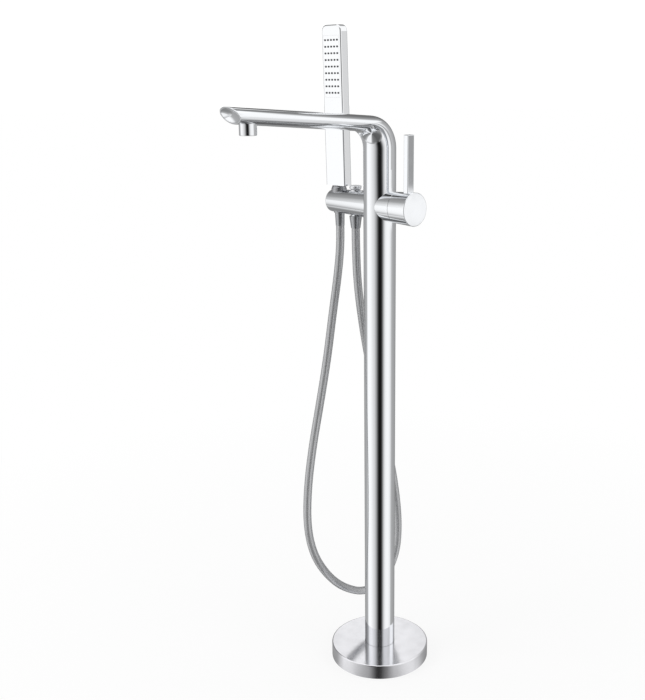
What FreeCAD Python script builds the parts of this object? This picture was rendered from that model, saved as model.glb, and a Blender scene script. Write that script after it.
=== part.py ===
import FreeCAD, Part
import Sketcher
import math
import os
import re

# A floor standing bath filler: a chromed column on a round floor flange, a flat spout over the bath,
# a tapered mixer body through the column with a joystick lever on one end, and a hand shower that
# docks in the other end on a hose.  Millimetres.  +Z is up, the spout points to -Y, the mixer body
# lies along X with its lever at +X, and the origin is the centre of the flange on the floor.

# ================================================================ sizes
SIZES = {
    # the floor flange and its cover
    "cover_diameter": 147,
    "cover_height": 21.5,
    "cover_wall": 2,
    "cover_edge_round": 1.5,
    "cover_collar_width": 4.2,
    "cover_collar_depth": 4,
    "cover_gap": 0.3,
    "cover_ring_thickness": 2.4,
    "gasket_inset": 2,
    "gasket_thickness": 1.5,
    "plate_margin": 7.5,
    "plate_thickness": 8,
    "anchor_edge": 16,
    "anchor_count": 4,
    "anchor_hole": 9,
    "hub_wall": 6.5,
    "hub_clearance": 0.7,
    "ledge_depth": 3.5,
    "grub_diameter": 5,
    "grub_count": 3,
    # the column and the spout
    "column_diameter": 45,
    "column_wall": 2,
    "column_above_body": 50,
    "spout_stub": 26.7,
    "bend_inner_radius": 25,
    "spout_rise": 3.8,
    "spout_width_tip": 36.5,
    "spout_thickness": 21.3,
    "spout_thickness_tip": 19.9,
    "spout_wall": 2.2,
    "spout_reach": 248,
    "tip_rake": 33,
    "tip_plate": 2,
    "tip_plate_inset": 0.6,
    "pipe_diameter": 13,
    "pipe_wall": 1,
    "pipe_drop": 0.4,
    "aerator_from_tip": 25.5,
    "aerator_diameter": 21.6,
    "aerator_wall": 1.6,
    "aerator_drop": 12.2,
    "aerator_length": 19,
    "aerator_insert_recess": 1.2,
    "aerator_insert_length": 8,
    "aerator_hole": 1.7,
    "aerator_hole_pitch": 3.4,
    "washer_thickness": 2,
    # the mixer body
    "body_height": 692,
    "body_radius_mid": 19.8,
    "body_taper": 0.042,
    "body_end": 13,
    "body_edge_round": 1.2,
    "pivot_x": 14,
    "dome_radius": 30,
    "dome_opening": 15.5,
    "dome_skirt": 17,
    "dome_skirt_depth": 8,
    "cartridge_radius": 12.5,
    "cartridge_behind": 26,
    "cartridge_ahead": 1.5,
    "cartridge_neck": 10.6,
    "neck_length": 8.5,
    "cavity_radius": 11.1,
    "rotor_radius": 8.6,
    "rotor_length": 13.9,
    "rotor_proud": 0.5,
    "rotor_window_width": 6.2,
    "rotor_window_height": 14.4,
    "nut_radius": 14.5,
    "nut_length": 7.5,
    "nut_notch": 3,
    "seal_thickness": 0.8,
    "disc_floor": 3,
    "disc_radius": 11,
    "disc_thickness": 3.5,
    "moving_disc_radius": 7.6,
    "moving_disc_gap": 0.6,
    "pin_diameter": 3,
    "pin_inset": 0.3,
    "stem_width": 5.8,
    "stem_height": 6,
    "stem_tail": 9,
    "stem_ball": 5.6,
    "stem_square": 8,
    "stem_reach": 43.5,
    "running_fit": 0.05,
    "seat_gap": 0.1,
    "port_diameter": 10,
    # the lever
    "handle_end": 67,
    "handle_edge_round": 1,
    "cup_gap": 0.4,
    "lever_inset": 12.6,
    "lever_width": 8,
    "lever_depth": 12,
    "lever_height": 97.3,
    "lever_edge_round": 1,
    "lever_spigot": 6,
    "lever_spigot_depth": 9,
    "handle_screw": 5,
    "screw_plug": 7,
    "screw_plug_depth": 2,
    # the diverter and the outlet to the hose
    "outlet_x": 48,
    "chamber_diameter": 14,
    "knob_diameter": 17,
    "knob_height": 4.8,
    "knob_round": 1.2,
    "knob_gap": 0.8,
    "knob_travel": 8,
    "bonnet_proud": 0.8,
    "diverter_stem": 5,
    "piston_gap": 2,
    "piston_height": 4,
    "piston_ring": 1.6,
    "spring_wire": 1,
    "spring_diameter": 9,
    "spring_turns": 5,
    "nipple_diameter": 12,
    "nipple_bore": 7,
    "nipple_depth": 11,
    "nipple_length": 17,
    "nut_top_diameter": 18,
    "nut_bottom_diameter": 13.2,
    "outlet_nut_length": 17.5,
    # the hand shower and its socket
    "socket_x": 81.5,
    "socket_lean": 1.5,
    "bush_proud": 1.6,
    "bush_lip": 0.1,
    "bush_top_radius": 9.3,
    "bush_bottom_radius": 8.2,
    "bush_wall": 1,
    "collar_radius": 11,
    "collar_depth": 5,
    "cone_gap": 0.3,
    "cone_length": 35,
    "cone_bore": 10,
    "shoulder_radius": 10.4,
    "shoulder_height": 3,
    "shoulder_round": 1.8,
    "neck_radius": 9.2,
    "neck_height": 1.4,
    "neck_spigot_depth": 14,
    "handset_width": 38.5,
    "handset_depth": 14,
    "handset_length": 217.4,
    "handset_corner": 9,
    "handset_edge_round": 2,
    "handset_channel": 8,
    "spray_width": 31,
    "spray_length": 82,
    "spray_from_top": 55,
    "spray_recess": 3,
    "spray_plate": 1.6,
    "mat_thickness": 1.2,
    "nozzle_rows": 9,
    "nozzle_columns": 5,
    "nozzle_row_pitch": 8.75,
    "nozzle_column_pitch": 6,
    "nozzle_diameter": 2.6,
    "nozzle_proud": 0.7,
    # the supply pipes and the hose
    "supply_pipe": 10,
    "supply_pipe_wall": 1,
    "connector_clearance": 1.3,
    "connector_gap": 1.6,
    "connector_wall": 1.725,
    "connector_height": 16,
    "connector_thread_depth": 12,
    "service_clearance": 0.8,
    "hose_diameter": 12,
}

# Lengths, places and heights that follow from the sizes.
FOLLOWS = {
    "plate_diameter": "cover_diameter - 2 * cover_wall - 2 * plate_margin",
    "gasket_diameter": "plate_diameter - 2 * gasket_inset",
    "anchor_circle": "plate_diameter - 2 * anchor_edge",
    "cover_hole": "column_diameter / 2 + cover_gap",
    "cover_ring_height": "cover_height - cover_wall - cover_collar_depth / 2",
    "hub_top": "cover_height - cover_wall - cover_collar_depth - hub_clearance",
    "ledge": "gasket_thickness + ledge_depth",
    "column_bore": "column_diameter - 2 * column_wall",
    "connector_diameter": "(column_bore - 2 * connector_clearance - connector_gap) / 2",
    "connector_thread": "connector_diameter - 2 * connector_wall",
    "supply_offset": "(connector_diameter + connector_gap) / 2",
    "service_hole": "2 * supply_offset + connector_diameter + 2 * service_clearance",
    "supply_top": "body_height - cartridge_radius",
    "column_top": "body_height + column_above_body",
    "bend_start": "column_top + spout_stub",
    "bend_outer": "bend_inner_radius + (spout_thickness - column_diameter * sin(spout_rise))"
                  " / (1 - sin(spout_rise))",
    "bend_pivot": "column_diameter / 2 + bend_inner_radius",
    "arm_lift": "bend_inner_radius + spout_thickness / 2",
    "pipe_offset": "bend_pivot - arm_lift + pipe_drop",
    "arm_start_y": "bend_pivot - arm_lift * sin(spout_rise)",
    "arm_start_height": "bend_start + arm_lift * cos(spout_rise)",
    "aerator_reach": "spout_reach - aerator_from_tip",
    "aerator_along": "(aerator_reach - arm_start_y) / (spout_reach - arm_start_y)",
    "aerator_underside": "arm_start_height + (aerator_reach - arm_start_y) * tan(spout_rise)"
                         " - spout_thickness / 2"
                         " + (spout_thickness - spout_thickness_tip) / 2 * aerator_along",
    "aerator_bottom": "aerator_underside - aerator_drop",
    "pipe_foot": "body_height + cartridge_radius + seat_gap",
    "body_left": "socket_x + body_end",
    "cone_foot_x": "pivot_x - body_taper * body_radius_mid",
    "face_x": "(cone_foot_x + sqrt(cone_foot_x^2 - (1 + body_taper^2)"
              " * (pivot_x^2 + body_radius_mid^2 - dome_radius^2))) / (1 + body_taper^2)",
    "mouth_x": "face_x - dome_skirt_depth",
    "cartridge_back": "pivot_x - cartridge_behind",
    "cartridge_shoulder": "pivot_x - cartridge_ahead",
    "neck_end": "cartridge_shoulder + neck_length",
    "rotor_back": "neck_end - rotor_length + rotor_proud",
    "disc_back": "cartridge_back + disc_floor",
    "lever_x": "handle_end - lever_inset",
    "lever_seat": "body_height + body_radius_mid + body_taper * lever_x",
    "lever_top": "body_height + lever_height",
    "screw_x": "lever_x - lever_width / 4",
    "plug_top": "body_height - body_radius_mid - body_taper * lever_x + screw_plug_depth",
    "nipple_top": "body_height - nipple_depth",
    "nipple_bottom": "nipple_top - nipple_length",
    "piston_bottom": "nipple_top + piston_gap",
    "bonnet_bottom": "piston_bottom + piston_height + knob_travel + (spring_turns + 2) * spring_wire",
    "bonnet_top": "body_height + body_radius_mid - body_taper * outlet_x + bonnet_proud",
    "knob_base": "bonnet_top + knob_gap",
    "outlet_underside": "body_height - body_radius_mid + body_taper * (outlet_x - nut_top_diameter / 2)",
    "outlet_nut_foot": "outlet_underside - seat_gap - outlet_nut_length",
    "socket_radius": "body_radius_mid - body_taper * socket_x",
    "bush_top": "socket_radius + bush_proud",
    "bush_bottom": "socket_radius + bush_lip",
    "cone_top_radius": "bush_top_radius - bush_wall - cone_gap",
    "cone_foot_radius": "cone_top_radius - (bush_top_radius - bush_bottom_radius) * (bush_top + cone_length)"
                        " / (bush_top + bush_bottom)",
    "neck_foot": "bush_top + 2 * seat_gap + shoulder_height",
    "handset_foot": "neck_foot + neck_height",
    "handset_top": "handset_foot + handset_length",
    "spray_centre": "handset_top - spray_from_top",
}

doc = FreeCAD.newDocument("bath_filler")
sheet = doc.addObject("Spreadsheet::Sheet", "sizes")
for row, (name, size) in enumerate(SIZES.items(), 1):
    sheet.set("A%d" % row, name)
    sheet.set("B%d" % row, str(size))
    sheet.setAlias("B%d" % row, name)
doc.recompute()
scratch = doc.addObject("Part::Feature", "scratch")
scratch.addProperty("App::PropertyFloat", "Length")


def written_out(formula):
    """A formula with its words written out down to the sheet's cells."""
    def word(match):
        name = match.group()
        if name in FOLLOWS:
            return "(%s)" % written_out(FOLLOWS[name])
        return "sizes." + name if name in SIZES else name
    return re.sub(r"[a-z_]+", word, str(formula))


def bind(thing, prop, formula):
    """Tie a property to the sheet."""
    thing.setExpression(prop, written_out(formula))


def number(formula):
    """The value that the sheet's sizes give to a formula."""
    bind(scratch, "Length", formula)
    scratch.recompute()
    return float(scratch.Length)


v = type("Sizes", (), {name: number(name) for name in list(SIZES) + list(FOLLOWS)})
UP, ALONG_X, ALONG_Y = "up", "along_x", "along_y"
X, Y, Z = FreeCAD.Vector(1, 0, 0), FreeCAD.Vector(0, 1, 0), FreeCAD.Vector(0, 0, 1)
ORIGIN = FreeCAD.Vector(0, 0, 0)
TURNS = {UP: FreeCAD.Rotation(), ALONG_X: FreeCAD.Rotation(Y, 90), ALONG_Y: FreeCAD.Rotation(X, -90)}


# ================================================================ helpers
def place(thing, at=(0, 0, 0), way=UP):
    thing.Placement = FreeCAD.Placement(ORIGIN, TURNS[way])
    for axis, formula in zip("xyz", at):
        bind(thing, "Placement.Base." + axis, formula)
    return thing


def cylinder(name, radius, height, at=(0, 0, 0), way=UP):
    thing = doc.addObject("Part::Cylinder", name)
    bind(thing, "Radius", radius)
    bind(thing, "Height", height)
    return place(thing, at, way)


def cone(name, radius, far_radius, height, at=(0, 0, 0), way=UP):
    thing = doc.addObject("Part::Cone", name)
    bind(thing, "Radius1", radius)
    bind(thing, "Radius2", far_radius)
    bind(thing, "Height", height)
    return place(thing, at, way)


def sphere(name, radius, at=(0, 0, 0)):
    thing = doc.addObject("Part::Sphere", name)
    bind(thing, "Radius", radius)
    return place(thing, at)


def box(name, length, width, height, at=(0, 0, 0)):
    """A box centred on its place in X and Y, with its bottom at the place's Z."""
    thing = doc.addObject("Part::Box", name)
    bind(thing, "Length", length)
    bind(thing, "Width", width)
    bind(thing, "Height", height)
    return place(thing, ("(%s) - (%s) / 2" % (at[0], length), "(%s) - (%s) / 2" % (at[1], width), at[2]))


def fuse(name, *things):
    joined = doc.addObject("Part::MultiFuse", name)
    joined.Shapes = list(things)
    return joined


def cut(name, base, *tools):
    tool = tools[0] if len(tools) == 1 else fuse(name + "_tools", *tools)
    result = doc.addObject("Part::Cut", name)
    result.Base = base
    result.Tool = tool
    return result


def common(name, one, other):
    result = doc.addObject("Part::Common", name)
    result.Base = one
    result.Tool = other
    return result


def round_edges(name, base, radius, wanted):
    """Round the edges of a finished solid that wanted(edge) picks."""
    doc.recompute()
    result = doc.addObject("Part::Fillet", name)
    result.Base = base
    picked = [number for number, edge in enumerate(base.Shape.Edges, 1) if wanted(edge)]
    result.Edges = [(number, radius, radius) for number in picked]
    return result


def polar_copies(name, thing, count, about=Z):
    """Copies of a solid spaced round the origin's axis, kept as one group."""
    doc.recompute()
    step = 360.0 / count
    turned = []
    for number in range(int(count)):
        copy = thing.Shape.copy()
        copy.rotate(ORIGIN, about, number * step)
        turned.append(copy)
    group = doc.addObject("Part::Feature", name)
    group.Shape = Part.makeCompound(turned)
    return group


def origin_plane(body, role):
    return [f for f in body.Origin.OriginFeatures if f.Role == role][0]


def sketch_on(body, name, role, offset="0"):
    sketch = body.newObject("Sketcher::SketchObject", name)
    sketch.AttachmentSupport = [(origin_plane(body, role), "")]
    sketch.MapMode = "FlatFace"
    bind(sketch, "AttachmentOffset.Base.z", offset)
    return sketch


def sketch_circle(sketch, radius, at=("0", "0")):
    """A circle whose radius and centre follow the sheet."""
    centre = FreeCAD.Vector(number(at[0]), number(at[1]), 0)
    index = sketch.addGeometry(Part.Circle(centre, Z, number(radius)), False)
    for kind, formula in (("DistanceX", at[0]), ("DistanceY", at[1])):
        constraint = sketch.addConstraint(Sketcher.Constraint(kind, -1, 1, index, 3, number(formula)))
        bind(sketch, "Constraints[%d]" % constraint, formula)
    constraint = sketch.addConstraint(Sketcher.Constraint("Radius", index, number(radius)))
    bind(sketch, "Constraints[%d]" % constraint, radius)


def sketch_polygon(sketch, corners):
    """A closed outline whose corners follow the sheet."""
    count = len(corners)
    first = sketch.GeometryCount
    rough = [FreeCAD.Vector(number(x), number(y), 0) for x, y in corners]
    for index in range(count):
        sketch.addGeometry(Part.LineSegment(rough[index], rough[(index + 1) % count]), False)
    for index in range(count):
        sketch.addConstraint(Sketcher.Constraint("Coincident", first + index, 2,
                                                 first + (index + 1) % count, 1))
    for index, (x, y) in enumerate(corners):
        for kind, formula in (("DistanceX", x), ("DistanceY", y)):
            constraint = sketch.addConstraint(
                Sketcher.Constraint(kind, -1, 1, first + index, 1, number(formula)))
            bind(sketch, "Constraints[%d]" % constraint, formula)


def finished(thing, label):
    thing.Label = label
    nodes.append(thing)
    return thing


nodes = []


def lean_with_socket(thing):
    """Pieces of the hand shower are drawn upright round the mixer body's axis, then lean in the socket."""
    thing.Placement = FreeCAD.Placement(ORIGIN, FreeCAD.Rotation(X, v.socket_lean))
    bind(thing, "Placement.Rotation.Angle", "socket_lean")
    bind(thing, "Placement.Base.x", "-socket_x")
    bind(thing, "Placement.Base.z", "body_height")
    return thing


# ================================================================ floor flange
def drilled_disc(name, diameter, thickness, bottom):
    """A disc with the service hole in its middle and the anchor holes round it."""
    body = doc.addObject("PartDesign::Body", name)
    outline = sketch_on(body, name + "_outline", "XY_Plane", bottom)
    sketch_circle(outline, diameter + " / 2")
    sketch_circle(outline, "service_hole / 2")
    disc = body.newObject("PartDesign::Pad", name + "_disc")
    disc.Profile = outline
    bind(disc, "Length", thickness)
    anchor = sketch_on(body, name + "_anchor", "XY_Plane", bottom)
    sketch_circle(anchor, "anchor_hole / 2", ("anchor_circle / 2", "0"))
    return body, disc, anchor


def drill_anchors(body, anchor):
    hole = body.newObject("PartDesign::Pocket", anchor.Name + "_hole")
    hole.Profile = anchor
    hole.Type = "ThroughAll"
    hole.Reversed = True
    holes = body.newObject("PartDesign::PolarPattern", anchor.Name + "_holes")
    holes.Originals = [hole]
    holes.Axis = (anchor, ["N_Axis"])
    holes.Angle = 360
    bind(holes, "Occurrences", "anchor_count")
    body.Tip = holes


def floor_gasket():
    body, disc, anchor = drilled_disc("gasket_body", "gasket_diameter", "gasket_thickness", "0")
    drill_anchors(body, anchor)
    finished(body, "floor_gasket")


def floor_plate():
    """The steel plate that is bolted down; the column stands on a ledge inside its hub."""
    body, disc, anchor = drilled_disc("plate_body", "plate_diameter", "plate_thickness",
                                      "gasket_thickness")
    hub_ring = sketch_on(body, "hub_ring", "XY_Plane", "gasket_thickness")
    sketch_circle(hub_ring, "column_diameter / 2 + hub_wall")
    sketch_circle(hub_ring, "service_hole / 2")
    hub = body.newObject("PartDesign::Pad", "hub")
    hub.Profile = hub_ring
    bind(hub, "Length", "hub_top - gasket_thickness")
    seat_ring = sketch_on(body, "seat_ring", "XY_Plane", "ledge")
    sketch_circle(seat_ring, "column_diameter / 2 + running_fit")
    seat = body.newObject("PartDesign::Pocket", "seat")
    seat.Profile = seat_ring
    seat.Reversed = True
    bind(seat, "Length", "hub_top")
    drill_anchors(body, anchor)
    finished(cut("floor_plate_drilled", body, grub_holes), "floor_plate")


def grub(name, start, reach):
    """The grub screws, or their threaded holes, that stand round the hub."""
    single = cylinder(name + "_single", "grub_diameter / 2", "%s - (%s)" % (reach, start),
                      (start, "0", "(ledge + hub_top) / 2"), ALONG_X)
    return polar_copies(name, single, v.grub_count)


def base_cover():
    """The polished cover: a turned shell whose inner collar holds the ring that grips the column."""
    hole = "cover_hole"
    under = "cover_height - cover_wall"
    collar = under + " - cover_collar_depth"
    rim = "cover_diameter / 2"
    profile = [(rim, "0"), (rim, "cover_height"), (hole, "cover_height"), (hole, collar),
               (hole + " + cover_collar_width", collar), (hole + " + cover_collar_width", under),
               (rim + " - cover_wall", under), (rim + " - cover_wall", "0")]
    body = doc.addObject("PartDesign::Body", "cover_body")
    section = sketch_on(body, "cover_section", "XZ_Plane")
    sketch_polygon(section, profile)
    shell = body.newObject("PartDesign::Revolution", "cover_shell")
    shell.Profile = section
    shell.ReferenceAxis = (section, ["V_Axis"])
    shell.Angle = 360
    groove = ring_torus("cover_groove", "cover_ring_height")
    doc.recompute()
    edged = round_edges("cover_edged", body, v.cover_edge_round, top_rim_of_cover)
    finished(cut("cover", edged, groove), "base_cover")


def top_rim_of_cover(edge):
    box = edge.BoundBox
    return box.ZLength < 0.01 and abs(box.ZMax - v.cover_height) < 0.01 and box.XMax > v.column_diameter


def ring_torus(name, height, clearance="running_fit"):
    """The round rubber ring that fills the gap between the cover and the column."""
    thing = doc.addObject("Part::Torus", name)
    minor = "(cover_ring_thickness / 2)"
    bind(thing, "Radius2", minor)
    bind(thing, "Radius1", "column_diameter / 2 + %s + %s" % (clearance, minor))
    return place(thing, ("0", "0", height))


# ================================================================ column and spout
def body_cone(name, start, end):
    """The mixer body's taper between two places along X."""
    radius = "body_radius_mid + body_taper * (%s)"
    return cone(name, radius % start, radius % end, "(%s) - (%s)" % (end, start),
                (start, "0", "body_height"), ALONG_X)


def column():
    tube = cylinder("column_outside", "column_diameter / 2", "column_top - ledge", ("0", "0", "ledge"))
    bore = cylinder("column_bore", "column_diameter / 2 - column_wall", "column_top", ("0", "0", "0"))
    cross = body_cone("column_cross_bore", "-column_diameter", "column_diameter")
    finished(cut("column_tube", tube, bore, cross), "column")


def bend_stations():
    """(y, z, tilt, half thickness) of the ellipses round the bend from the column to the arm."""
    outer, pivot, rise = v.bend_outer, v.bend_pivot, math.radians(v.spout_rise)
    stations = []
    steps = 8
    for step in range(steps + 1):
        turn = (math.pi / 2 - rise) * step / steps
        out_y = v.column_diameter / 2 - outer + outer * math.cos(turn)
        in_y = -pivot + v.bend_inner_radius * math.cos(turn)
        out_z, in_z = outer * math.sin(turn), v.bend_inner_radius * math.sin(turn)
        stations.append(((out_y + in_y) / 2, v.bend_start + (out_z + in_z) / 2,
                         math.atan2(out_z - in_z, out_y - in_y),
                         math.hypot(out_y - in_y, out_z - in_z) / 2))
    return stations


def arm_height(reach):
    """Height of the spout's centre line over a place out along -Y."""
    return v.arm_start_height + (reach - v.arm_start_y) * math.tan(math.radians(v.spout_rise))


def spout_ellipse(y, z, tilt, half_width, half_thickness):
    ellipse = Part.Ellipse(ORIGIN, half_width + 1e-4, half_thickness).toShape()
    ellipse.Placement = FreeCAD.Placement(FreeCAD.Vector(0, y, z), FreeCAD.Rotation(X, math.degrees(tilt)))
    return Part.Wire([ellipse])


def spout_skin(name, inset):
    """The spout's outside, or its inside when inset by the wall: a bend and a tapering flat arm."""
    half = v.column_diameter / 2 - inset
    bend = [spout_ellipse(y, z, tilt, half, thickness - inset)
            for y, z, tilt, thickness in bend_stations()]
    rise = math.radians(v.spout_rise)
    run = (v.spout_reach - v.arm_start_y) / math.cos(rise)
    beyond = run + v.spout_thickness
    taper = (v.spout_width_tip - v.column_diameter) / 2 / run
    thinning = (v.spout_thickness_tip - v.spout_thickness) / 2 / run
    end = spout_ellipse(-v.arm_start_y - beyond * math.cos(rise),
                        v.arm_start_height + beyond * math.sin(rise),
                        math.pi / 2 - rise, half + taper * beyond,
                        v.spout_thickness / 2 + thinning * beyond - inset)
    stub = Part.Face(bend[0]).extrude(FreeCAD.Vector(0, 0, v.column_top - v.bend_start))
    skin = doc.addObject("Part::Feature", name)
    skin.Shape = Part.makeLoft(bend, True, False).fuse([stub, Part.makeLoft([bend[-1], end], True, True)])
    return skin


def rake_slab(name, inward, thickness):
    """A slab along the raked face of the spout's tip, from a depth inward and on into the spout."""
    reach = 80
    turn = FreeCAD.Rotation(X, v.tip_rake)
    slab = doc.addObject("Part::Feature", name)
    corner = FreeCAD.Vector(-reach / 2, inward, -reach / 2)
    slab.Shape = Part.makeBox(reach, thickness, reach, corner)
    tip = FreeCAD.Vector(0, -v.spout_reach, arm_height(v.spout_reach))
    slab.Placement = FreeCAD.Placement(tip, turn)
    return slab


def spout():
    aerator_hole = cylinder("aerator_hole", "aerator_diameter / 2", "aerator_length",
                            ("0", "-aerator_reach", "aerator_bottom"))
    outside, inside = spout_skin("spout_outside", 0), spout_skin("spout_inside", v.spout_wall)
    waste = rake_slab("spout_waste", -60, 60)
    finished(cut("spout_shell", outside, inside, waste, aerator_hole), "spout")
    plate = common("tip_plate", inside, rake_slab("tip_slab", v.tip_plate_inset, v.tip_plate))
    finished(plate, "spout_end_plate")


def spout_pipe():
    """The waterway inside the spout, from the port on the mixer body to the chamber at the tip."""
    rise = math.radians(v.spout_rise)
    pivot = v.bend_pivot
    swing = pivot - v.pipe_offset
    foot = FreeCAD.Vector(0, -v.pipe_offset, v.pipe_foot)
    bend_foot = FreeCAD.Vector(0, -v.pipe_offset, v.bend_start)

    def on_bend(turn):
        return FreeCAD.Vector(0, -pivot + swing * math.cos(turn), v.bend_start + swing * math.sin(turn))
    bend_head = on_bend(math.pi / 2 - rise)
    run = v.aerator_reach - v.aerator_diameter - abs(bend_head.y)
    head = bend_head + FreeCAD.Vector(0, -run, run * math.tan(rise))
    path = Part.Wire([Part.LineSegment(foot, bend_foot).toShape(),
                      Part.Arc(bend_foot, on_bend((math.pi / 2 - rise) / 2), bend_head).toShape(),
                      Part.LineSegment(bend_head, head).toShape()])
    outside = swept_round(path, v.pipe_diameter / 2, foot, Z)
    bore = swept_round(path, v.pipe_diameter / 2 - v.pipe_wall, foot, Z)
    pipe = doc.addObject("Part::Feature", "waterway")
    pipe.Shape = outside.cut(bore)
    finished(pipe, "spout_pipe")


def swept_round(path, radius, start, direction):
    ring = Part.Wire([Part.Circle(start, direction, radius).toShape()])
    return path.makePipeShell([ring], True, False)


def aerator():
    centre = ("0", "-aerator_reach")
    bore = "(aerator_diameter / 2 - aerator_wall)"
    outside = cylinder("aerator_outside", "aerator_diameter / 2", "aerator_length",
                       centre + ("aerator_bottom",))
    inside = cylinder("aerator_inside", bore, "aerator_length", centre + ("aerator_bottom",))
    edged = round_edges("aerator_edged", outside, v.aerator_wall / 2,
                        lambda e: e.BoundBox.ZMax < v.aerator_bottom + 0.01)
    finished(cut("aerator_ring", edged, inside), "aerator_housing")
    insert_foot = "aerator_bottom + aerator_insert_recess"
    plug = cylinder("insert_plug", bore, "aerator_insert_length", centre + (insert_foot,))
    jets = []
    for ring in range(3):
        for place_number in range(max(1, 6 * ring)):
            angle = 60.0 / max(1, ring) * place_number
            x = "aerator_hole_pitch * %d * cos(%g)" % (ring, angle)
            y = "aerator_hole_pitch * %d * sin(%g) - aerator_reach" % (ring, angle)
            jets.append(cylinder("jet_%d_%d" % (ring, place_number), "aerator_hole / 2",
                                 "aerator_insert_length", (x, y, insert_foot)))
    finished(cut("insert_grid", plug, *jets), "aerator_insert")
    seat = insert_foot + " + aerator_insert_length"
    ring = cylinder("washer_outside", bore, "washer_thickness", centre + (seat,))
    eye = cylinder("washer_eye", bore + " / 2", "washer_thickness", centre + (seat,))
    finished(cut("washer_ring", ring, eye), "aerator_washer")


# ================================================================ mixer body
def valve_body():
    """The tapered casting through the column: mixing bore on the right, diverter and socket left."""
    blank = body_cone("body_blank", "-body_left", "face_x")
    edged = round_edges("body_edged", blank, v.body_edge_round,
                        lambda e: e.BoundBox.XMax < 0.01 - v.body_left)
    cartridge_bore = along_x("cartridge_bore", "cartridge_radius + running_fit",
                             "cartridge_back - seal_thickness", "face_x")
    nut_bore = along_x("nut_bore", "nut_radius", "cartridge_shoulder", "face_x")
    mouth = along_x("mouth_bore", "dome_skirt", "mouth_x", "face_x")
    gallery = along_x("mixed_gallery", "port_diameter / 2", "-outlet_x", "cartridge_back")
    chamber = cylinder("diverter_chamber", "chamber_diameter / 2", "body_radius_mid * 2",
                       ("-outlet_x", "0", "nipple_top"))
    outlet = cylinder("outlet_bore", "nipple_diameter / 2", "body_radius_mid * 2",
                      ("-outlet_x", "0", "nipple_top - body_radius_mid * 2"))
    ports = []
    for side, sign in (("hot", "-"), ("cold", "")):
        y = sign + "supply_offset"
        ports.append(cylinder(side + "_port", "supply_pipe / 2", "body_radius_mid",
                              ("0", y, "supply_top - body_radius_mid")))
        ports.append(cylinder(side + "_inlet", "supply_pipe / 3", "cartridge_radius",
                              ("0", y, "supply_top - supply_pipe_wall")))
    ports.append(cylinder("spout_port", "pipe_diameter / 2", "body_radius_mid",
                          ("0", "-pipe_offset", "pipe_foot")))
    ports.append(cylinder("spout_inlet", "pipe_diameter / 3", "cartridge_radius",
                          ("0", "-pipe_offset", "pipe_foot - cartridge_radius")))
    socket = socket_space("socket_hole", "bush_top_radius", "bush_bottom_radius")
    collar_seat = cylinder("collar_seat", "collar_radius", "collar_depth * 2",
                           ("0", "0", "bush_top - collar_depth"))
    clear = cylinder("socket_clear", "bush_bottom_radius", "bush_bottom", ("0", "0", "-2 * bush_bottom"))
    sockets = lean_with_socket(fuse("socket_tools", socket, collar_seat, clear))
    finished(cut("valve_casting", edged, cartridge_bore, nut_bore, mouth, gallery, chamber, outlet,
                 sockets, *ports), "valve_body")


def along_x(name, radius, start, end):
    return cylinder(name, radius, "(%s) - (%s)" % (end, start), (start, "0", "body_height"), ALONG_X)


def socket_space(name, top_radius, bottom_radius):
    """The socket's taper, drawn upright round the body's axis."""
    return cone(name, bottom_radius, top_radius, "bush_top + bush_bottom", ("0", "0", "-bush_bottom"))


def dome_cover():
    """The spherical ring on the body's mouth, on which the lever's cup slides."""
    ball = sphere("dome_ball", "dome_radius", ("pivot_x", "0", "body_height"))
    ahead = along_x("dome_ahead", "dome_radius * 2", "face_x", "pivot_x + dome_radius * 2")
    skirt = along_x("dome_skirt_ring", "dome_skirt", "mouth_x", "face_x")
    opening = along_x("dome_hole", "dome_opening", "mouth_x", "pivot_x + dome_radius * 2")
    finished(cut("dome_ring", fuse("dome_solid", common("dome_cap", ball, ahead), skirt), opening),
             "dome_cover")


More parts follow.
